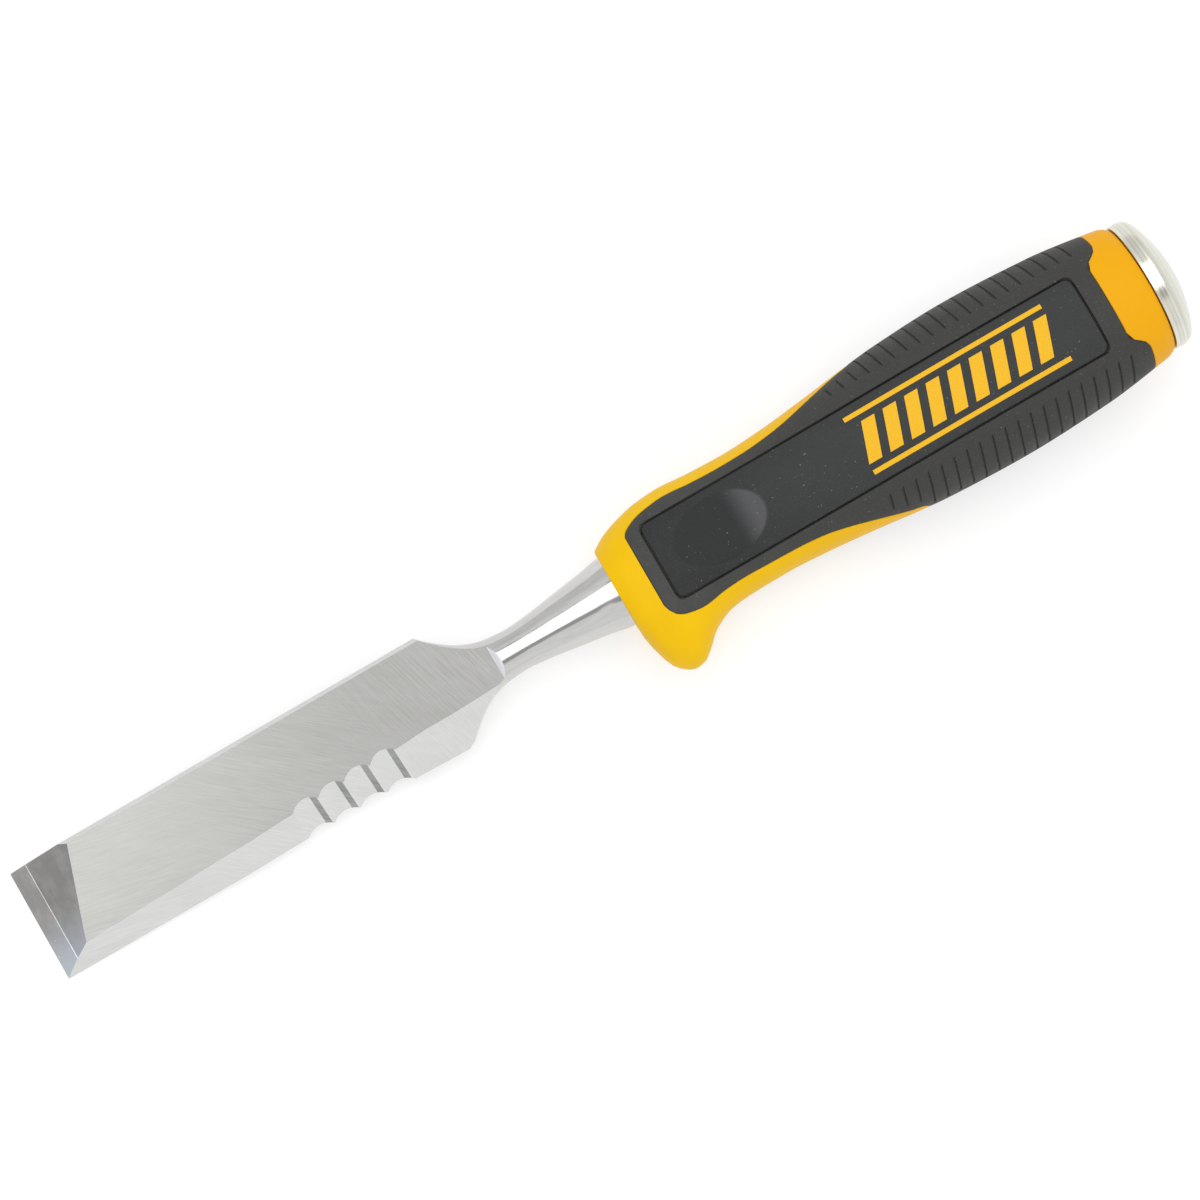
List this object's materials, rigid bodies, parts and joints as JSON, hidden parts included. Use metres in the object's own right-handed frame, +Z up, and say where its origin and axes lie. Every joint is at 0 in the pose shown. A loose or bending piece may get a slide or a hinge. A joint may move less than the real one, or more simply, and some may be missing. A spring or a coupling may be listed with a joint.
{
  "type": "bench chisel",
  "caption": "Bench chisel with a ground, side-bevelled blade, round neck, guarded two-material handle and domed steel strike cap.",
  "frame": {"origin": "on the bench plane, under the middle of the tool's bounding box, with the chisel lying face up so that its cutting edge and the handle's belly touch z = 0", "axes": "+X along the tool from the cutting edge to the strike cap, +Y to the blade's thick spine (the guard is on -Y), +Z up out of the bench; the tool's own axis rises 3.26 degrees from the bench towards the cap"},
  "size_m": [0.2739, 0.0406, 0.033],
  "materials": {
    "blade_steel": "ground and lightly polished carbon steel, polished neck",
    "yellow_plastic": "hard moulded plastic, fine satin texture",
    "black_rubber": "soft overmoulded rubber, matt and lightly grained",
    "panel_rubber": "smoother rubber inlay, low satin",
    "plated_steel": "bright zinc-plated steel with turned rings"
  },
  "bodies": {
    "root": {"blade": "blade_steel", "handle_core": "yellow_plastic", "grip_overmould": "black_rubber", "front_panel": "panel_rubber", "back_panel": "panel_rubber", "strike_cap": "plated_steel"}
  },
  "joints": []
}
